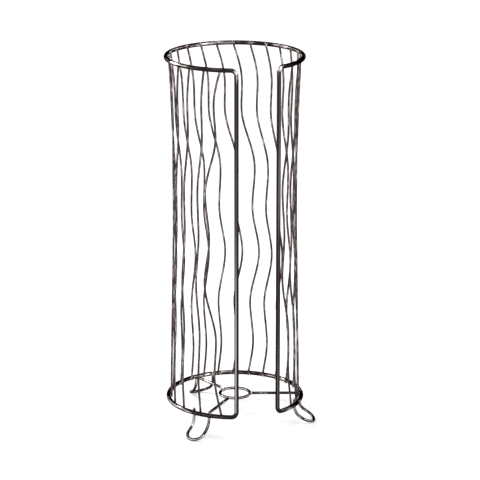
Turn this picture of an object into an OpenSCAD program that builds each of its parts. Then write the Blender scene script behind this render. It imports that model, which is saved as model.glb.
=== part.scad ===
// Free-standing cage for spare toilet rolls, welded from chrome-plated steel wire.
// The rolls stack on the three spokes of the base and are seen, and reached, through the front opening.
// Turns are angles about the cage's axis, seen from above and counter-clockwise.
// They start at the middle of the front opening, which faces -Y. The ground is at Z = 0.

/* [Frame] */
// Radius of the two end rings, to the middle of the wire
ring_radius = 74; // [72:0.5:78]
// Height from the middle of the lower ring's wire to the middle of the upper one's
ring_spacing = 384.5; // [340:0.5:420]
// Diameter of the frame wire
frame_wire_size = 4.8; // [4:0.1:5.6]
// Turn from the middle of the front opening to each upright
opening_turn = 18.7; // [14:0.1:22]
// Radius of the frame's four corners, to the middle of the wire
corner_radius = 6; // [4:0.5:9]

/* [Wavy wires] */
// Number of wavy wires
wave_count = 20; // [16:1:20]
// Diameter of a wavy wire
wave_wire_size = 2.4; // [2:0.1:2.8]
// Turn from the middle of the opening back to the first wire, which is left of it
first_wave_turn = 31.8; // [30:0.1:34]
// Turn from the middle of the opening on to the last wire, which is right of it
last_wave_turn = 41; // [38:0.1:44]
// How far the wires stand above the middle of the upper ring's wire
wave_top_reach = 2; // [0:0.5:2]
// How far the wires hang below the middle of the lower ring's wire
wave_bottom_reach = 1.5; // [1:0.5:4]

/* [Base] */
// Diameter of the wire of the feet and the centre ring
base_wire_size = 3.2; // [2.8:0.1:3.6]
// Radius of the centre ring, to the middle of the wire
centre_ring_radius = 16.7; // [14:0.1:20]
// Height of the spokes and the centre ring above the middle of the lower ring's wire
spoke_rise = 1.5; // [1:0.1:2]
// Radius of the bend from a spoke down into its leg
spoke_bend = 3; // [2.5:0.1:3.5]
// Turns to the three spokes
spoke_turns = [-43.7, 70.2, 199];
// Distance between the two legs of each foot
foot_widths = [19.2, 26, 22];
// Straight length of a leg below the middle of the lower ring's wire
leg_drop = 4; // [3:0.5:8]
// Radius of the outward bend of a foot
foot_bend = 16; // [12:0.5:20]
// How far that bend turns a leg away from upright
foot_splay = 61; // [50:1:70]
// Length of a foot from that bend to the end of the toe's half circle
toe_length = 13.5; // [13.5:0.5:20]
// Height of a leg's cut end above the middle of the lower ring's wire
cut_end_rise = 4; // [3:0.5:6]

/* [Hidden] */
$fn = 96;
wave_sides = 8;
wave_steps = 40;
// How deep two crossing wires are pressed into each other by the spot weld
weld_depth = 0.3;
// How deep a spoke's end is melted into the side of the centre ring's wire
spoke_inset = 0.8;
// A bend is this much thicker than the straight wire that it joins,
// and the straight wire's end is seated this deep inside it
bend_swell = 0.02;
bend_seat = 0.1;

// The swings of a full-size wavy wire, from its lower end at 0 to its upper end at 1.
// Each pair is a place where the wire turns back, and its turn there in degrees.
wave_swings = [
    [0, 0],
    [0.12, -6.6],
    [0.22, -5.3],
    [0.39, -16.5],
    [0.51, -11.9],
    [0.64, -15.8],
    [0.805, -5.4],
    [0.89, -6.9],
    [1, 0],
];
// Slope of the wire at its lower and upper end, in degrees of turn for its whole length
wave_end_slopes = [-63, 91];

// The hand-set wires differ a little. These lists go from 0, the first wire, to 1, the last.
// Size of a wire's swings, where 1 is full size
wave_sizes = [
    [0, 1],
    [0.05, 0.46],
    [0.42, 0.69],
    [0.58, 1.02],
    [1, 0.74],
];
// How far a wire's lower end is turned back from its upper end, in degrees
wave_leans = [
    [0, 0],
    [0.05, -4.8],
    [0.1, -10.1],
    [0.34, -18.8],
    [0.5, -15.5],
    [0.74, -11.1],
    [0.9, -5.4],
    [1, 0],
];
// How far a wire sags in towards the axis
wave_bows = [
    [0, 2.4],
    [0.25, 4.2],
    [0.5, 3],
    [0.75, 4.2],
    [1, 3.4],
];
// At 1 a wire would sag most at half height, and at 1.4 it does so at 0.61 of its height
bow_lift = 1.4;

wave_pitch = (360 - first_wave_turn - last_wave_turn) / (wave_count - 1);
wave_length = wave_top_reach + ring_spacing + wave_bottom_reach;
ring_inside = ring_radius - frame_wire_size / 2;
wave_radius = ring_inside - wave_wire_size / 2 + weld_depth;
leg_radius = ring_inside - base_wire_size / 2 + weld_depth;
// The upright stands on the tangent at the ring's end, one corner radius away from it
ring_end_turn = opening_turn + atan(corner_radius / ring_radius);
bend_drop = foot_bend * sin(foot_splay);
bend_reach = foot_bend * (1 - cos(foot_splay));
toe_drop = toe_length * cos(foot_splay);
// Height of the middle of the lower ring's wire above the ground
ring_level = leg_drop + bend_drop + toe_drop + base_wire_size / 2;

function wave_name(i) = str("wave_wire_", i < 10 ? "0" : "", i);

// Turns what is drawn along +X to an angle from the middle of the opening
module at_turn(turn) {
    rotate([0, 0, turn - 90])
        children();
}

// Part of a round wire ring in the XY plane, from +X counter-clockwise
module wire_arc(radius, size, angle) {
    rotate_extrude(angle = angle)
        translate([radius, 0])
            circle(d = size);
}

// A bend drawn the same way
module wire_bend(radius, size, angle) {
    wire_arc(radius, size + bend_swell, angle);
}

// A straight wire between two bends, from the origin along +Z
module wire_straight(size, length) {
    translate([0, 0, -bend_seat])
        cylinder(d = size, h = length + 2 * bend_seat);
}

// One end ring, open at the front, with the corner bends at its two ends.
// side is 1 where the corners turn up and -1 where they turn down.
module end_ring(side) {
    seat_turn = bend_seat / ring_radius * 180 / PI;
    at_turn(ring_end_turn - seat_turn)
        wire_arc(ring_radius, frame_wire_size, 360 - 2 * ring_end_turn + 2 * seat_turn);
    for (across = [0, 1])
        mirror([across, 0, 0])
            at_turn(ring_end_turn)
                translate([ring_radius, 0, side * corner_radius])
                    mirror([0, 0, side > 0 ? 1 : 0])
                        rotate([180, -90, 0])
                            wire_bend(corner_radius, frame_wire_size, 90);
}

// The closed loop of thick wire: lower ring, two uprights, upper ring
module frame_wire() {
    color([0.42, 0.41, 0.40])
        translate([0, 0, ring_level]) {
            end_ring(1);
            translate([0, 0, ring_spacing])
                end_ring(-1);
            for (across = [0, 1])
                mirror([across, 0, 0])
                    at_turn(ring_end_turn)
                        translate([ring_radius, -corner_radius, corner_radius])
                            wire_straight(frame_wire_size, ring_spacing - 2 * corner_radius);
        }
}

module centre_ring() {
    color([0.38, 0.37, 0.36])
        translate([0, 0, ring_level + spoke_rise])
            wire_arc(centre_ring_radius, base_wire_size, 360);
}

// Turn between a foot's middle and each of its legs
function leg_turn(width) = asin(width / 2 / leg_radius);

// Both legs of a foot, drawn along +X and centred on it, from the ring down to the toe
module foot_loop(width) {
    leg_out = leg_radius * cos(leg_turn(width));
    bend_end = [bend_reach, 0, -leg_drop - bend_drop];
    toe_run = toe_length - width / 2;
    for (side = [-1, 1])
        translate([leg_out, side * width / 2, 0]) {
            top = side > 0 ? spoke_rise - spoke_bend : cut_end_rise;
            translate([0, 0, -leg_drop])
                wire_straight(base_wire_size, leg_drop + top);
            translate([foot_bend, 0, -leg_drop])
                rotate([90, 0, 0])
                    rotate([0, 0, 180])
                        wire_bend(foot_bend, base_wire_size, foot_splay);
            translate(bend_end)
                rotate([0, 180 - foot_splay, 0])
                    wire_straight(base_wire_size, toe_run);
        }
    translate([leg_out, 0, 0] + bend_end)
        rotate([0, 90 - foot_splay, 0])
            translate([toe_run, 0, 0])
                rotate([0, 0, -90])
                    wire_bend(width / 2, base_wire_size, 180);
}

// One base wire: a spoke out to the ring, a leg down its inner side, a looped foot
// that splays out on the ground, and a second leg back up that ends in a cut
module foot_wire(i) {
    width = foot_widths[i - 1];
    spoke_start = centre_ring_radius + base_wire_size / 2 - spoke_inset;
    spoke_end = leg_radius - spoke_bend;
    color([0.38, 0.37, 0.36])
        translate([0, 0, ring_level])
            at_turn(spoke_turns[i - 1]) {
                translate([spoke_start, 0, spoke_rise])
                    rotate([0, 90, 0])
                        wire_straight(base_wire_size, spoke_end - spoke_start);
                translate([spoke_end, 0, spoke_rise - spoke_bend])
                    rotate([90, 0, 0])
                        wire_bend(spoke_bend, base_wire_size, 90);
                rotate([0, 0, -leg_turn(width)])
                    foot_loop(width);
            }
}

// Value at t of the cubic curve through two swings a and b, with the slopes given there
function swing(t, a, b, slope_a, slope_b) =
    let (
        span = b[0] - a[0],
        u = (t - a[0]) / span
    )
    a[1] * (1 + 2 * u) * (1 - u) * (1 - u)
    + b[1] * u * u * (3 - 2 * u)
    + slope_a * span * u * (1 - u) * (1 - u)
    - slope_b * span * u * u * (1 - u);

// The swing that t lies above, counted from 0
function swing_below(t) =
    min(len(wave_swings) - 2, len([for (s = wave_swings) if (s[0] <= t) s]) - 1);

// Turn of a full-size wavy line at t, before the wire's place and lean are added
function wave_line(t) =
    let (
        last = len(wave_swings) - 2,
        k = swing_below(t)
    )
    swing(
        t,
        wave_swings[k],
        wave_swings[k + 1],
        k == 0 ? wave_end_slopes[0] : 0,
        k == last ? wave_end_slopes[1] : 0
    );

// Place of wire i in the lists above, from 0 to 1
function wave_place(i) = (i - 1) / (wave_count - 1);

// Turn of wire i at t, with its upper end at its own place round the upper ring
function wave_turn(i, t) =
    -first_wave_turn
    - (i - 1) * wave_pitch
    + wave_line(t) * lookup(wave_place(i), wave_sizes)
    + (1 - t) * lookup(wave_place(i), wave_leans);

// The points round the wire at t. The wire lies on a cylinder, so one direction across it
// is straight out from the axis, and the other lies along the cylinder, square to the wire.
function wave_section(i, t) =
    let (
        step = 0.001,
        bow = lookup(wave_place(i), wave_bows) * sin(180 * pow(t, bow_lift)),
        turn = wave_turn(i, t) - 90,
        turn_rate = (wave_turn(i, min(1, t + step)) - wave_turn(i, max(0, t - step)))
            / (min(1, t + step) - max(0, t - step)),
        slant = wave_radius * turn_rate * PI / 180 / wave_length,
        tilt = atan(slant),
        out = [cos(turn), sin(turn), 0],
        across = [-sin(turn) * cos(tilt), cos(turn) * cos(tilt), -sin(tilt)],
        middle = (wave_radius - bow) * out + [0, 0, wave_length * t]
    )
    [
        for (n = [0:wave_sides - 1])
            middle
            + wave_wire_size / 2 * cos(360 * n / wave_sides) * out
            + wave_wire_size / 2 * sin(360 * n / wave_sides) * across
    ];

// One wavy wire, swept as rings of points from its lower end to its upper end
module wave_wire(i) {
    points = [for (s = [0:wave_steps]) each wave_section(i, s / wave_steps)];
    top = wave_steps * wave_sides;
    sides = [
        for (s = [0:wave_steps - 1], n = [0:wave_sides - 1])
            let (
                a = s * wave_sides + n,
                b = s * wave_sides + (n + 1) % wave_sides
            )
            each [[a, a + wave_sides, b], [b, a + wave_sides, b + wave_sides]]
    ];
    ends = [
        for (n = [1:wave_sides - 2])
            each [[0, n, n + 1], [top, top + n + 1, top + n]]
    ];
    color([0.46, 0.45, 0.44])
        translate([0, 0, ring_level - wave_bottom_reach])
            polyhedron(points = points, faces = concat(sides, ends), convexity = 8);
}

frame_wire();
centre_ring();
foot_wire(1);  // foot_wire_1
foot_wire(2);  // foot_wire_2
foot_wire(3);  // foot_wire_3
for (i = [1:wave_count])
    wave_wire(i);
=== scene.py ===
"""Looks of the wire cage for spare toilet rolls: chrome-plated wire, spot welds and cut ends.

Every wire is swept again along the route of its CAD solid, with round sections, and rides on the
root body. Lengths are in metres. Turns are in degrees, counter-clockwise from above, and start at
the middle of the front opening, which faces -Y.
"""

import math

import bmesh
import bpy
from mathutils import Matrix, Vector, noise


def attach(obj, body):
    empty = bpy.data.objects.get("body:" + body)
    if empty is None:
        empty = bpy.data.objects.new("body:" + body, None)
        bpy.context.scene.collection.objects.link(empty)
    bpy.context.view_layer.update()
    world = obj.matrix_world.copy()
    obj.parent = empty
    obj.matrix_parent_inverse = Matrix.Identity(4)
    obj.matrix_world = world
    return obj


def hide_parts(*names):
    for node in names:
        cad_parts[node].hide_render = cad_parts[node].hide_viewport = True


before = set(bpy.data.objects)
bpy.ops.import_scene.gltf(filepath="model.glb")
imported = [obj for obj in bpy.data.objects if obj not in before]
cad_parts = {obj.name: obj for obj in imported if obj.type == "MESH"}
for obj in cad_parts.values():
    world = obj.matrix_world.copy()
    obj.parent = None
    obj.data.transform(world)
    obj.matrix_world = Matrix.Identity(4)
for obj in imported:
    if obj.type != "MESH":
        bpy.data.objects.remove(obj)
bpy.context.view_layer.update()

# ---------------------------------------------------------------- sizes, as in the part's source
MM = 0.001
RING_RADIUS = 74 * MM
RING_SPACING = 384.5 * MM
FRAME_SIZE = 4.8 * MM
OPENING_TURN = 18.7
CORNER_RADIUS = 6 * MM

WAVE_COUNT = 20
WAVE_SIZE = 2.4 * MM
FIRST_WAVE_TURN = 31.8
LAST_WAVE_TURN = 41
WAVE_TOP_REACH = 2 * MM
WAVE_BOTTOM_REACH = 1.5 * MM
# The swings go from a wire's lower end to its upper end, with a turn at each
WAVE_SWINGS = [(0, 0), (0.12, -6.6), (0.22, -5.3), (0.39, -16.5), (0.51, -11.9),
               (0.64, -15.8), (0.805, -5.4), (0.89, -6.9), (1, 0)]
WAVE_END_SLOPES = (-63, 91)
# These three go from the first wire to the last: size of the swings, lean, and sag in millimetres
WAVE_SIZES = [(0, 1), (0.05, 0.46), (0.42, 0.69), (0.58, 1.02), (1, 0.74)]
WAVE_LEANS = [(0, 0), (0.05, -4.8), (0.1, -10.1), (0.34, -18.8), (0.5, -15.5),
              (0.74, -11.1), (0.9, -5.4), (1, 0)]
WAVE_BOWS = [(0, 2.4), (0.25, 4.2), (0.5, 3), (0.75, 4.2), (1, 3.4)]
BOW_LIFT = 1.4

BASE_SIZE = 3.2 * MM
CENTRE_RING_RADIUS = 16.7 * MM
SPOKE_RISE = 1.5 * MM
SPOKE_BEND = 3 * MM
SPOKE_INSET = 0.8 * MM
SPOKE_TURNS = (-43.7, 70.2, 199)
FOOT_WIDTHS = (19.2 * MM, 26 * MM, 22 * MM)
LEG_DROP = 4 * MM
FOOT_BEND = 16 * MM
FOOT_SPLAY = 61
TOE_LENGTH = 13.5 * MM
CUT_END_RISE = 4 * MM
WELD_DEPTH = 0.3 * MM

RING_INSIDE = RING_RADIUS - FRAME_SIZE / 2
WAVE_RADIUS = RING_INSIDE - WAVE_SIZE / 2 + WELD_DEPTH
LEG_RADIUS = RING_INSIDE - BASE_SIZE / 2 + WELD_DEPTH
WAVE_LENGTH = WAVE_TOP_REACH + RING_SPACING + WAVE_BOTTOM_REACH
WAVE_PITCH = (360 - FIRST_WAVE_TURN - LAST_WAVE_TURN) / (WAVE_COUNT - 1)
RING_END_TURN = OPENING_TURN + math.degrees(math.atan(CORNER_RADIUS / RING_RADIUS))
SPLAY = math.radians(FOOT_SPLAY)
RING_LEVEL = (LEG_DROP + FOOT_BEND * math.sin(SPLAY) + TOE_LENGTH * math.cos(SPLAY)
              + BASE_SIZE / 2)

# ---------------------------------------------------------------- how finely the wires are drawn
# Steps along each run of a wire
RING_STEPS = 200
CORNER_STEPS = 14
UPRIGHT_STEPS = 40
CENTRE_STEPS = 96
SPOKE_STEPS = 20
BEND_STEPS = 12
LEG_STEPS = 6
SPLAY_STEPS = 18
TOE_STEPS = 40
WAVE_STEPS = 160
# Sides of each wire's section
FRAME_SIDES = 28
BASE_SIDES = 20
WAVE_SIDES = 14

# Points closer than this are one
SAME_PLACE = 1e-6


def at_turn(turn):
    """Turns what is laid out along +X to an angle from the middle of the opening."""
    return Matrix.Rotation(math.radians(turn - 90), 4, "Z")


def turn_of(p):
    """The turn of a point, from -180 to 180."""
    return math.degrees(math.atan2(p.x, -p.y))


def lookup(x, table):
    """Value at x on the straight lines between the table's points."""
    for (x0, y0), (x1, y1) in zip(table, table[1:]):
        if x <= x1:
            return y0 + (y1 - y0) * (x - x0) / (x1 - x0)
    return table[-1][1]


# ---------------------------------------------------------------- routes of the wires
def spread(count, start, end):
    """Even steps from start to end, both included."""
    return [start + (end - start) * i / count for i in range(count + 1)]


def joined(*runs):
    """One list of points from several, without the doubled ones where two runs meet."""
    out = []
    for run in runs:
        for p in run:
            p = Vector(p)
            if not out or (p - out[-1]).length > SAME_PLACE:
                out.append(p)
    return out


def frame_route():
    """The closed loop, from the middle of the back of the lower ring and on to the cage's right."""
    ring_turns = spread(RING_STEPS, RING_END_TURN, 360 - RING_END_TURN)
    quarter = spread(CORNER_STEPS, 0, math.pi / 2)
    straight = RING_SPACING - 2 * CORNER_RADIUS

    def ring(z):
        return [at_turn(t) @ Vector((RING_RADIUS, 0, z)) for t in ring_turns]

    def side(mirror):
        """From the lower ring's end up through its corner, the upright and the upper corner."""
        local = [(RING_RADIUS, -CORNER_RADIUS * math.sin(a), CORNER_RADIUS * (1 - math.cos(a)))
                 for a in quarter]
        local += [(RING_RADIUS, -CORNER_RADIUS, CORNER_RADIUS + straight * i / UPRIGHT_STEPS)
                  for i in range(1, UPRIGHT_STEPS)]
        local += [(RING_RADIUS, -CORNER_RADIUS * math.cos(a),
                   RING_SPACING - CORNER_RADIUS * (1 - math.sin(a))) for a in quarter]
        points = [at_turn(RING_END_TURN) @ Vector(p) for p in local]
        return [Vector((-p.x, p.y, p.z)) for p in points] if mirror else points

    loop = joined(ring(0)[::-1], side(False), ring(RING_SPACING), side(True)[::-1])
    if (loop[0] - loop[-1]).length < SAME_PLACE:
        loop.pop()
    back = RING_STEPS // 2
    return [p + Vector((0, 0, RING_LEVEL)) for p in loop[back:] + loop[:back]]


def centre_route():
    """The closed centre ring, from a place at its back."""
    start = 200
    return [at_turn(t) @ Vector((CENTRE_RING_RADIUS, 0, RING_LEVEL + SPOKE_RISE))
            for t in spread(CENTRE_STEPS, start, start + 360)[:-1]]


def foot_route(i):
    """From the centre ring out along the spoke, down the leg, round the toe and up to the end."""
    half = FOOT_WIDTHS[i] / 2
    leg_turn = math.asin(half / LEG_RADIUS)
    leg_out = LEG_RADIUS * math.cos(leg_turn)
    spoke_start = CENTRE_RING_RADIUS + BASE_SIZE / 2 - SPOKE_INSET
    spoke_end = LEG_RADIUS - SPOKE_BEND
    spoke = [Vector((x, 0, SPOKE_RISE)) for x in spread(SPOKE_STEPS, spoke_start, spoke_end)]
    bend = [Vector((spoke_end + SPOKE_BEND * math.sin(a), 0,
                    SPOKE_RISE - SPOKE_BEND * (1 - math.cos(a))))
            for a in spread(BEND_STEPS, 0, math.pi / 2)]

    def leg(side, top):
        down = [Vector((leg_out, side * half, z)) for z in spread(LEG_STEPS, top, -LEG_DROP)]
        out = [Vector((leg_out + FOOT_BEND * (1 - math.cos(a)), side * half,
                       -LEG_DROP - FOOT_BEND * math.sin(a)))
               for a in spread(SPLAY_STEPS, 0, SPLAY)]
        return down + out

    ahead = Vector((math.sin(SPLAY), 0, -math.cos(SPLAY)))
    first = leg(1, SPOKE_RISE - SPOKE_BEND)
    middle = Vector((first[-1].x, 0, first[-1].z)) + ahead * (TOE_LENGTH - half)
    toe = [middle + ahead * half * math.sin(a) + Vector((0, half * math.cos(a), 0))
           for a in spread(TOE_STEPS, 0, math.pi)]
    back = leg(-1, CUT_END_RISE)[::-1]
    foot = [Matrix.Rotation(-leg_turn, 4, "Z") @ p for p in joined(first, toe, back)]
    route = joined(spoke, bend, foot)
    return [at_turn(SPOKE_TURNS[i]) @ p + Vector((0, 0, RING_LEVEL)) for p in route]


def wave_line(t):
    """Turn of a full-size wavy line at t: a cubic curve from each swing to the next."""
    last = len(WAVE_SWINGS) - 2
    k = min(last, sum(s[0] <= t for s in WAVE_SWINGS) - 1)
    (ta, a), (tb, b) = WAVE_SWINGS[k], WAVE_SWINGS[k + 1]
    span = tb - ta
    u = (t - ta) / span
    slope_a = WAVE_END_SLOPES[0] if k == 0 else 0
    slope_b = WAVE_END_SLOPES[1] if k == last else 0
    return (a * (1 + 2 * u) * (1 - u) ** 2 + b * u * u * (3 - 2 * u)
            + slope_a * span * u * (1 - u) ** 2 - slope_b * span * u * u * (1 - u))


def wave_turn(i, t):
    place = i / (WAVE_COUNT - 1)
    return (-FIRST_WAVE_TURN - i * WAVE_PITCH + wave_line(t) * lookup(place, WAVE_SIZES)
            + (1 - t) * lookup(place, WAVE_LEANS))


def wave_point(i, t):
    bow = lookup(i / (WAVE_COUNT - 1), WAVE_BOWS) * MM * math.sin(math.pi * t ** BOW_LIFT)
    z = RING_LEVEL - WAVE_BOTTOM_REACH + WAVE_LENGTH * t
    return at_turn(wave_turn(i, t)) @ Vector((WAVE_RADIUS - bow, 0, z))


def wave_route(i):
    return [wave_point(i, k / WAVE_STEPS) for k in range(WAVE_STEPS + 1)]


# ---------------------------------------------------------------- painted reflections and highlights on the wires
# A painted reflection goes up to 1 on the side of a wire that its material's lift makes lighter
# or darker. It takes a place on the wire's middle line and the direction from there to the side.
# A tone is added all round a wire, at a place on its middle line. On the rings, the upper corners
# and the spokes it holds painted reflections and highlights.

# How much looking up counts beside looking out
OUTER_RISE = 0.6
# Painted reflection on a level wire's side, by how many degrees that side looks up
LEVEL_SIDE_REFLECTION = [(-90, -1), (-32, -0.6), (-2, 1), (34, 1), (64, -0.6), (90, -1)]
# Painted reflection that each direction adds on the two rings
RINGS_SIDE_REFLECTION = Vector((0.405, -0.15, 0.25))
# The uprights' painted highlight strip looks out from the axis and this much round it,
# counter-clockwise
RIGHT_HIGHLIGHT_TURN, LEFT_HIGHLIGHT_TURN = 0.3, -0.7
# Above 1, this makes the painted highlight strip narrower
HIGHLIGHT_CONTRAST = 1.6
# How fast the frame's streaks change up the uprights, where 1 is as fast as round the rings
UPRIGHT_PACE = 0.03

# Painted reflections of the rings, in light and dark stretches, by turn
RING_REFLECTIONS = [
    (-180, -0.02), (-165, -0.02), (-158, -0.18), (-140, -0.18), (-125, -0.10), (-112, -0.04),
    (-104, 0.04), (-84, 0.06), (-76, 0.08), (-68, 0.08), (-57, -0.14), (-45, -0.23),
    (42, -0.23), (52, -0.18), (58, -0.02), (64, 0.10), (80, 0.10), (86, -0.02),
    (116, 0.0), (126, -0.10), (138, -0.20), (168, -0.20), (176, -0.04), (180, -0.02),
]
# By height, from the lower ring at 0 to the upper ring at 1
LEFT_UPRIGHT_TONES = [(0, -0.08), (0.5, -0.09), (0.6, -0.11), (1, -0.11)]
RIGHT_UPRIGHT_TONES = [(0, -0.10), (0.5, -0.09), (0.8, -0.06), (1, -0.06)]
WAVE_TONES = [(0, -0.055), (0.5, -0.04), (1, -0.015)]
# Painted highlight down an upper corner, from the ring at 0 to the upright at 1
CORNER_HIGHLIGHTS = [(0, -0.25), (0.14, -0.15), (0.28, 0.04), (0.55, 0.04), (0.8, -0.14), (1, -0.08)]
# A place on a ring's middle line is less than this from the ring's level
HAIR = 0.01 * MM
# Painted reflections, one for each spoke; and by height above the ground for the legs and toes
SPOKE_REFLECTIONS = (-0.08, -0.18, 0.0)
LEG_TONES = [(4 * MM, -0.10), (14 * MM, -0.05), (30 * MM, -0.07)]


def on_upright(p):
    return CORNER_RADIUS < p.z - RING_LEVEL < RING_SPACING - CORNER_RADIUS


def height_share(p):
    """Height from the lower ring at 0 to the upper ring at 1."""
    return (p.z - RING_LEVEL) / RING_SPACING


def outer_side_reflection(p, side):
    """Painted reflection: 1 where a wire looks out of the cage and somewhat up."""
    out = Vector((p.x, p.y, 0)).normalized()
    return side.dot((out + Vector((0, 0, OUTER_RISE))).normalized())


def level_side_reflection(p, side):
    """Painted reflection: light on a level wire's flanks, dark along its top and underside."""
    rise = math.degrees(math.asin(max(-1.0, min(1.0, side.z))))
    return lookup(rise, LEVEL_SIDE_REFLECTION)


def frame_side_reflection(p, side):
    """Painted highlight: uprights lightest on a strip along their front, the rings to the right."""
    if not on_upright(p):
        return level_side_reflection(p, side) + side.dot(RINGS_SIDE_REFLECTION)
    out = Vector((p.x, p.y, 0)).normalized()
    round_axis = Vector((-out.y, out.x, 0)) * (RIGHT_HIGHLIGHT_TURN if p.x > 0 else LEFT_HIGHLIGHT_TURN)
    return HIGHLIGHT_CONTRAST * side.dot((out + round_axis).normalized()) + 1 - HIGHLIGHT_CONTRAST


def even_pace(p):
    return 1.0


def frame_pace(p):
    """The frame's streaks change quickly round the rings and slowly up the uprights."""
    return UPRIGHT_PACE if on_upright(p) else 1.0


def even_tone(p):
    return 0.0


def frame_tone_and_reflection(p):
    """Painted reflections: light and dark ring stretches, darkest beside the corners' highlights.
    """
    if on_upright(p):
        return lookup(height_share(p), LEFT_UPRIGHT_TONES if p.x < 0 else RIGHT_UPRIGHT_TONES)
    below_top = RING_LEVEL + RING_SPACING - p.z
    if HAIR < below_top < CORNER_RADIUS:
        return lookup(below_top / CORNER_RADIUS, CORNER_HIGHLIGHTS)
    return lookup(turn_of(p), RING_REFLECTIONS)


def foot_tone_and_reflection(p):
    """Each spoke has its own painted reflection, and a foot is darkest at its toe, near the ground.
    """
    if p.z > RING_LEVEL and math.hypot(p.x, p.y) < LEG_RADIUS - SPOKE_BEND:
        apart = [abs((turn_of(p) - turn + 180) % 360 - 180) for turn in SPOKE_TURNS]
        return SPOKE_REFLECTIONS[apart.index(min(apart))]
    return lookup(p.z, LEG_TONES)


def wave_tone(p):
    """A wavy wire is a little darker towards the floor."""
    return lookup(height_share(p), WAVE_TONES)


# ---------------------------------------------------------------- materials
class Graph:
    """A short way to write a node tree."""

    def __init__(self, tree):
        self.tree = tree
        tree.nodes.clear()

    def node(self, kind, inputs=None, **settings):
        n = self.tree.nodes.new(kind)
        for key, value in settings.items():
            setattr(n, key, value)
        for key, value in (inputs or {}).items():
            socket = n.inputs[key]
            if isinstance(value, bpy.types.NodeSocket):
                self.tree.links.new(value, socket)
            else:
                socket.default_value = value
        return n

    def noise(self, at, scale, detail, roughness):
        inputs = {"Vector": at, "Scale": scale, "Detail": detail, "Roughness": roughness}
        return self.node("ShaderNodeTexNoise", inputs).outputs["Fac"]

    def attribute(self, name, output):
        return self.node("ShaderNodeAttribute", attribute_name=name).outputs[output]

    def object_place(self):
        return self.node("ShaderNodeTexCoord").outputs["Object"]

    def stretched(self, at, factors):
        n = self.node("ShaderNodeVectorMath", {0: at, 1: factors}, operation="MULTIPLY")
        return n.outputs["Vector"]

    def math(self, operation, a, b):
        n = self.node("ShaderNodeMath", {0: a, 1: b}, operation=operation)
        return n.outputs["Value"]

    def number(self, value, low, high, to_low, to_high):
        """The value on a straight line from (low, to_low) to (high, to_high), level outside."""
        n = self.node("ShaderNodeMapRange", {"Value": value, "From Min": low, "From Max": high,
                                             "To Min": to_low, "To Max": to_high})
        return n.outputs["Result"]

    def ramp(self, value, stops):
        n = self.node("ShaderNodeValToRGB", {"Fac": value})
        items = n.color_ramp.elements
        items[0].position, items[0].color = stops[0]
        items[1].position, items[1].color = stops[-1]
        for position, color in stops[1:-1]:
            items.new(position).color = color
        return n.outputs["Color"]


def new_material(name):
    material = bpy.data.materials.new(name)
    material.use_nodes = True
    return material, Graph(material.node_tree)


def grey(value, warm=0.04):
    """A grey with the faint warm cast of chrome over copper."""
    return (value * (1 + 6 * warm), value, value * (1 - 0.75 * warm), 1)


# Tint of the reflections along a wire's edges, which are dark on thin polished wire
EDGE_TINT = grey(0.02)
# The side of a wire that faces away has its painted reflection shifted the other way, by this
# share of the lift
AWAY_SHARE = 0.6
# How far the lines of the die darken the plate
LINE_SHARE = 0.4


def chrome(name, greys, shares, rough, drift, ripple, lift, core):
    """Chrome plate on drawn wire. Its grey drifts round and along the wire in long soft streaks and
    shorter ripples, between three greys. The painted reflection on the wire's sides shifts it by
    the lift, the ripples shift it by the core, and its tone, with painted reflections and
    highlights, is added. The die has left fine lines along the wire.
    The skin attribute holds the direction round the wire, and the length along it in centimetres.
    """
    material, g = new_material(name)
    skin = g.attribute("skin", "Vector")
    cloud = g.noise(g.stretched(skin, (0.8, 0.8, drift)), scale=2.0, detail=2.0, roughness=0.5)
    ripples = g.noise(g.stretched(skin, (0.25, 0.25, ripple)), scale=1.0, detail=1.0,
                      roughness=0.5)
    lines = g.noise(g.stretched(skin, (7.0, 7.0, 0.5)), scale=1.0, detail=3.0, roughness=0.6)
    grain = g.noise(g.object_place(), scale=1100.0, detail=4.0, roughness=0.7)
    # Painted reflections: on the wire's sides by the lift, and in the tone along it
    side_reflection = g.attribute("side_reflection", "Fac")
    streak = g.math("ADD", cloud, g.number(side_reflection, 0, 1, -lift * AWAY_SHARE, lift))
    streak = g.math("ADD", streak, g.attribute("tone_and_reflection", "Fac"))
    streak = g.math("ADD", streak, g.number(ripples, 0.38, 0.62, -core, core))
    dark, mid, light = greys
    color = g.ramp(streak, [(shares[0], grey(dark)), (shares[1], grey(mid)),
                            (shares[2], grey(light, 0.02))])
    lined = g.node("ShaderNodeMix", {"Factor": g.number(lines, 0.4, 0.7, 0.0, LINE_SHARE),
                                     "A": color, "B": grey(dark)},
                   data_type="RGBA", blend_type="MIX")
    dull = g.math("ADD", g.number(streak, 0.3, 0.7, rough * 1.3, rough * 0.8),
                  g.number(grain, 0.35, 0.75, -0.02, 0.05))
    bump = g.node("ShaderNodeBump", {"Strength": 0.10, "Distance": 0.05 * MM,
                                     "Height": g.math("ADD", lines, grain)})
    shader = g.node("ShaderNodeBsdfPrincipled", {
        "Base Color": lined.outputs[2], "Metallic": 1.0, "Specular Tint": EDGE_TINT,
        "Roughness": dull, "Normal": bump.outputs["Normal"]})
    g.node("ShaderNodeOutputMaterial", {"Surface": shader.outputs["BSDF"]})
    return material


def weld_metal_and_glint(name):
    """Bright, slightly rough metal of a spot weld, plated with the rest, with grey burnt patches.
    Its brightness is partly the metal's own and partly a painted glint; the cut ends use it too.
    """
    material, g = new_material(name)
    lumps = g.noise(g.object_place(), scale=700.0, detail=4.0, roughness=0.6)
    color = g.ramp(lumps, [(0.32, grey(0.16)), (0.5, grey(0.5)), (0.68, grey(0.8, 0.01))])
    bump = g.node("ShaderNodeBump", {"Strength": 0.3, "Distance": 0.1 * MM, "Height": lumps})
    shader = g.node("ShaderNodeBsdfPrincipled", {
        "Base Color": color, "Metallic": 1.0, "Roughness": g.number(lumps, 0.3, 0.7, 0.42, 0.2),
        "Normal": bump.outputs["Normal"]})
    g.node("ShaderNodeOutputMaterial", {"Surface": shader.outputs["BSDF"]})
    return material


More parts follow.
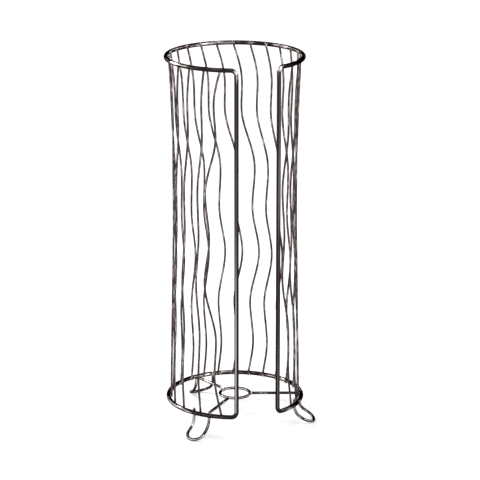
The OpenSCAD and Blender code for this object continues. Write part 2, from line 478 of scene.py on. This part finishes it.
frame_chrome = chrome("frame_chrome", greys=(0.018, 0.08, 0.64), shares=(0.47, 0.57, 0.66),
                      rough=0.11, drift=0.3, ripple=1.0, lift=0.16, core=0.05)
wave_chrome = chrome("wave_chrome", greys=(0.042, 0.145, 0.62), shares=(0.45, 0.57, 0.71),
                     rough=0.14, drift=0.4, ripple=1.4, lift=-0.06, core=0.06)
base_chrome = chrome("base_chrome", greys=(0.022, 0.085, 0.62), shares=(0.46, 0.57, 0.67),
                     rough=0.14, drift=0.5, ripple=1.2, lift=0.15, core=0.06)
# Bright weld and cut-end metal: partly its own brightness, partly painted glints
cut_metal_and_glint = weld_metal_and_glint("cut_metal_and_glint")
wave_weld = weld_metal_and_glint("wave_weld")
base_weld_and_glint = weld_metal_and_glint("base_weld_and_glint")

# ---------------------------------------------------------------- wires
# A closed wire is this much thicker at its butt weld
BUTT_SWELL = 1.04
# The rounded lip of a cut end is this long, for a wire of size 1
LIP_LENGTH = 0.12
# Places along the lip, from the end at 0, with the share of the full thickness there
LIP = ((0.0, 0.80), (0.3, 0.94), (1.0, 1.0))
LIP_BANDS = len(LIP) - 1
# No point of the route is kept within this many lips of a cut end
LIP_CLEARANCE = 1.5
# Centimetres along the streaks from where one wire starts on them to where the next one does
SEED_SHIFT = 10
CENTIMETRES = 100


def stations_along(route, size, closed):
    """Each place on a wire, as its point, its length along the wire and its share of the full
    thickness. Open ends are cut square, with the small rounding that a shear leaves."""
    run = [0.0]
    for p, q in zip(route, route[1:]):
        run.append(run[-1] + (q - p).length)
    if closed:
        return [(p, s, 1.0 if k else BUTT_SWELL) for k, (p, s) in enumerate(zip(route, run))]
    lip = LIP_LENGTH * size
    start, end = route[0], route[-1]
    into, out_of = (route[1] - start).normalized(), (route[-2] - end).normalized()
    head = [(start + into * lip * part, lip * part, share) for part, share in LIP]
    tail = [(end + out_of * lip * part, run[-1] - lip * part, share) for part, share in LIP[::-1]]
    clear = lip * LIP_CLEARANCE
    inner = [(p, s, 1.0) for p, s in zip(route, run) if clear < s < run[-1] - clear]
    return head + inner + tail


def tangents_along(points, closed):
    count = len(points)
    out = []
    for k in range(count):
        before = points[k - 1] if k or closed else points[0]
        after = points[(k + 1) % count] if k < count - 1 or closed else points[-1]
        out.append((after - before).normalized())
    return out


def frames_along(tangents):
    """Two directions across the wire at each place, carried along without a twist."""
    across = tangents[0].orthogonal().normalized()
    out = []
    for k, tangent in enumerate(tangents):
        if k:
            across = tangents[k - 1].rotation_difference(tangent) @ across
        across = (across - tangent * across.dot(tangent)).normalized()
        out.append((across, tangent.cross(across)))
    return out


def closing_twist(tangents, frames):
    """How far the directions across a closed wire have turned when they come back to its start."""
    last = tangents[-1].rotation_difference(tangents[0]) @ frames[-1][0]
    return math.atan2(last.dot(frames[0][1]), last.dot(frames[0][0]))


def bare_band(k, count, closed):
    """Whether the band from station k is on the butt weld or on a cut end's lip."""
    if closed:
        return k in (0, count - 1)
    return k < LIP_BANDS or k >= count - 1 - LIP_BANDS


def root_piece(name, mesh, materials):
    """Turns a finished bmesh into a piece that rides on the root body."""
    data = bpy.data.meshes.new(name)
    mesh.normal_update()
    mesh.to_mesh(data)
    mesh.free()
    for material in materials:
        data.materials.append(material)
    piece = bpy.data.objects.new(name, data)
    bpy.context.scene.collection.objects.link(piece)
    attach(piece, "root")
    return piece


def wire(name, route, size, material, sides, closed=False, seed=0, side_reflection=outer_side_reflection,
         pace=even_pace, tone_and_reflection=even_tone):
    """A round wire along a route. A closed one has its butt weld where the route starts."""
    stations = stations_along(route, size, closed)
    count = len(stations)
    tangents = tangents_along([point for point, _, _ in stations], closed)
    frames = frames_along(tangents)
    twist = closing_twist(tangents, frames) if closed else 0.0

    mesh = bmesh.new()
    skin_layer = mesh.verts.layers.float_vector.new("skin")
    side_reflection_layer = mesh.verts.layers.float.new("side_reflection")
    tone_and_reflection_layer = mesh.verts.layers.float.new("tone_and_reflection")
    rings = []
    along = seed * SEED_SHIFT
    for k, (middle, s, share) in enumerate(stations):
        if k:
            along += (s - stations[k - 1][1]) * CENTIMETRES * pace(middle)
        a, b = frames[k]
        ring = []
        for n in range(sides):
            phi = 2 * math.pi * n / sides - twist * k / count
            side = a * math.cos(phi) + b * math.sin(phi)
            vert = mesh.verts.new(middle + side * size / 2 * share)
            vert[skin_layer] = (math.cos(phi), math.sin(phi), along)
            # Painted reflection on this side of the wire, set by the direction it looks
            vert[side_reflection_layer] = side_reflection(middle, side)
            # The tone, which holds painted reflections and highlights on the frame and the spokes
            vert[tone_and_reflection_layer] = tone_and_reflection(middle)
            ring.append(vert)
        rings.append(ring)

    for k in range(count if closed else count - 1):
        this, following = rings[k], rings[(k + 1) % count]
        for n in range(sides):
            m = (n + 1) % sides
            face = mesh.faces.new((this[n], this[m], following[m], following[n]))
            face.smooth = True
            face.material_index = 1 if bare_band(k, count, closed) else 0
    if not closed:
        for ring in (rings[0][::-1], rings[-1]):
            face = mesh.faces.new(ring)
            face.smooth = False
            face.material_index = 1
    return root_piece(name, mesh, [material, cut_metal_and_glint])


# ---------------------------------------------------------------- weld beads
# Half sizes of a bead: out from the cage's axis, round it, and up
WAVE_BEAD = (0.75 * MM, 1.75 * MM, 1.5 * MM)
LEG_BEAD = (0.9 * MM, 2.15 * MM, 1.9 * MM)
CENTRE_BEAD = (1.3 * MM, 2.1 * MM, 1.72 * MM)
# The beads on a ring sit this far outside its inner side, and the centre ring's this share of its
# wire's size outside its middle
BEAD_SINK = 0.1 * MM
CENTRE_BEAD_SHARE = 0.45


def bead(mesh, place, axes, sizes, seed):
    """A small lump of melted metal: a ball flattened along its axes, with broad and fine lumps."""
    made = bmesh.ops.create_icosphere(mesh, subdivisions=3, radius=1.0)
    for v in made["verts"]:
        p = v.co.copy()
        swell = (1 + 0.16 * noise.noise(p * 1.3 + Vector((seed * 3.7, 1.1, 0.4)))
                 + 0.06 * noise.noise(p * 3.1 + Vector((seed, 7, 2))))
        offsets = (axis * (p[k] * sizes[k] * swell) for k, axis in enumerate(axes))
        v.co = place + sum(offsets, Vector())
    for face in {f for v in made["verts"] for f in v.link_faces}:
        face.smooth = True


def bead_at(turn, radius, height, sizes):
    """A bead's place, its three directions, and its half sizes along them."""
    m = at_turn(turn)
    axes = [m @ Vector((1, 0, 0)), m @ Vector((0, 1, 0)), Vector((0, 0, 1))]
    return axes[0] * radius + Vector((0, 0, height)), axes, sizes


def bead_piece(name, beads, material):
    mesh = bmesh.new()
    for seed, (place, axes, sizes) in enumerate(beads, start=1):
        bead(mesh, place, axes, sizes, seed)
    return root_piece(name, mesh, [material])


# ---------------------------------------------------------------- the cage
FIRST_FOOT_SEED = 1
FIRST_WAVE_SEED = 5

frame_piece = wire("frame_loop", frame_route(), FRAME_SIZE, frame_chrome,
                   FRAME_SIDES, closed=True, side_reflection=frame_side_reflection, pace=frame_pace,
                   tone_and_reflection=frame_tone_and_reflection)
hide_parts("frame_wire")

centre_piece = wire("centre_loop", centre_route(), BASE_SIZE, base_chrome,
                    BASE_SIDES, closed=True, side_reflection=level_side_reflection)
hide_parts("centre_ring")

for i in range(len(SPOKE_TURNS)):
    piece = wire("foot_%d" % (i + 1), foot_route(i), BASE_SIZE, base_chrome,
                 BASE_SIDES, seed=FIRST_FOOT_SEED + i, side_reflection=level_side_reflection, tone_and_reflection=foot_tone_and_reflection)
    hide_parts("foot_wire_%d" % (i + 1))

for i in range(WAVE_COUNT):
    piece = wire("wave_%02d" % (i + 1), wave_route(i), WAVE_SIZE, wave_chrome,
                 WAVE_SIDES, seed=FIRST_WAVE_SEED + i, tone_and_reflection=wave_tone)
    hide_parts("wave_wire_%02d" % (i + 1))

wave_beads = []
for i in range(WAVE_COUNT):
    for height in (0, RING_SPACING):
        turn = wave_turn(i, (WAVE_BOTTOM_REACH + height) / WAVE_LENGTH)
        wave_beads.append(bead_at(turn, RING_INSIDE + BEAD_SINK, RING_LEVEL + height, WAVE_BEAD))
bead_piece("wave_welds", wave_beads, wave_weld)

base_beads = []
for i, spoke_turn in enumerate(SPOKE_TURNS):
    between_legs = 2 * math.degrees(math.asin(FOOT_WIDTHS[i] / 2 / LEG_RADIUS))
    for turn in (spoke_turn, spoke_turn - between_legs):
        base_beads.append(bead_at(turn, RING_INSIDE + BEAD_SINK, RING_LEVEL, LEG_BEAD))
    base_beads.append(bead_at(spoke_turn, CENTRE_RING_RADIUS + BASE_SIZE * CENTRE_BEAD_SHARE,
                              RING_LEVEL + SPOKE_RISE, CENTRE_BEAD))
bead_piece("base_welds", base_beads, base_weld_and_glint)

# ---------------------------------------------------------------- floor and world
FLOOR_RADIUS = 6.0
FLOOR_WHITE = (0.86, 0.86, 0.86, 1)
WHITE = (1, 1, 1, 1)
# The floor glows to white for the camera: less near the cage, where the lamps light it too
NEAR, NEAR_GLOW = 0.15, 0.34
FAR, FAR_GLOW = 2.2, 0.75
# Strength of the world as a light, and as the background that is seen
WORLD_LIGHT, WORLD_SEEN = 0.5, 1.0


def sees_white(g):
    """1 for rays that show the background: the camera's, and those seen in gloss or glass."""
    path = g.node("ShaderNodeLightPath").outputs
    seen = g.math("MAXIMUM", path["Is Camera Ray"], path["Is Glossy Ray"])
    return g.math("MAXIMUM", seen, path["Is Transmission Ray"])


def floor_material():
    material, g = new_material("floor_white")
    far = g.node("ShaderNodeVectorMath", {0: g.object_place()}, operation="LENGTH").outputs["Value"]
    glow = g.node("ShaderNodeEmission", {
        "Color": WHITE,
        "Strength": g.math("MULTIPLY", g.number(far, NEAR, FAR, NEAR_GLOW, FAR_GLOW),
                           sees_white(g))})
    paper = g.node("ShaderNodeBsdfDiffuse", {"Color": FLOOR_WHITE})
    both = g.node("ShaderNodeAddShader", {0: paper.outputs[0], 1: glow.outputs[0]})
    g.node("ShaderNodeOutputMaterial", {"Surface": both.outputs[0]})
    return material


floor_mesh = bmesh.new()
bmesh.ops.create_circle(floor_mesh, cap_ends=True, segments=96, radius=FLOOR_RADIUS)
floor_data = bpy.data.meshes.new("floor")
floor_mesh.to_mesh(floor_data)
floor_mesh.free()
floor_data.materials.append(floor_material())
floor = bpy.data.objects.new("floor", floor_data)
bpy.context.scene.collection.objects.link(floor)

world = bpy.data.worlds.new("studio")
bpy.context.scene.world = world
world.use_nodes = True
g = Graph(world.node_tree)
air = g.node("ShaderNodeBackground", {
    "Color": WHITE, "Strength": g.number(sees_white(g), 0, 1, WORLD_LIGHT, WORLD_SEEN)})
g.node("ShaderNodeOutputWorld", {"Surface": air.outputs[0]})

# ---------------------------------------------------------------- lamps and camera
VIEW_TURN = math.radians(-20.17)
ELEVATION = math.radians(16.191)
DISTANCE = 2.6
FOCAL_PIXELS = 2372.6
IMAGE_PIXELS = 480
SENSOR_WIDTH = 36
CLIP_START, CLIP_END = 0.05, 50
# The camera's target is this far to its right of the axis, and this far above the lower ring
TARGET_RIGHT, TARGET_RISE = 0.00563, 0.17929

# Name, place, width, height and watts
SOFTBOXES = [
    ("key_softbox", (-1.13, 0.58, 0.85), 0.4, 0.4, 14),
    ("fill_softbox", (1.3, -0.9, 0.9), 0.3, 0.5, 5),
    ("top_softbox", (0.2, -0.5, 1.7), 0.6, 0.4, 6),
]
SOFTBOX_TARGET = Vector((0, 0, 0.2))


def studio(x, y, z):
    """A place seen from the camera's side: x to its right, y away from it."""
    return Matrix.Rotation(VIEW_TURN, 4, "Z") @ Vector((x, y, z))


def softbox(name, place, width, height, power):
    data = bpy.data.lights.new(name, "AREA")
    data.shape = "RECTANGLE"
    data.size, data.size_y = width, height
    data.energy = power
    lamp = bpy.data.objects.new(name, data)
    lamp.location = place
    lamp.rotation_euler = (SOFTBOX_TARGET - place).to_track_quat("-Z", "Y").to_euler()
    bpy.context.scene.collection.objects.link(lamp)


for name, place, width, height, power in SOFTBOXES:
    softbox(name, studio(*place), width, height, power)

target = studio(TARGET_RIGHT, 0, TARGET_RISE + RING_LEVEL)
to_camera = studio(0, -math.cos(ELEVATION), math.sin(ELEVATION))
camera_data = bpy.data.cameras.new("camera")
camera_data.sensor_width = SENSOR_WIDTH
camera_data.lens = FOCAL_PIXELS * SENSOR_WIDTH / IMAGE_PIXELS
camera_data.clip_start, camera_data.clip_end = CLIP_START, CLIP_END
camera = bpy.data.objects.new("camera", camera_data)
camera.location = target + to_camera * DISTANCE
camera.rotation_euler = (-to_camera).to_track_quat("-Z", "Y").to_euler()
bpy.context.scene.collection.objects.link(camera)
bpy.context.scene.camera = camera
bpy.context.scene.view_settings.view_transform = "Standard"
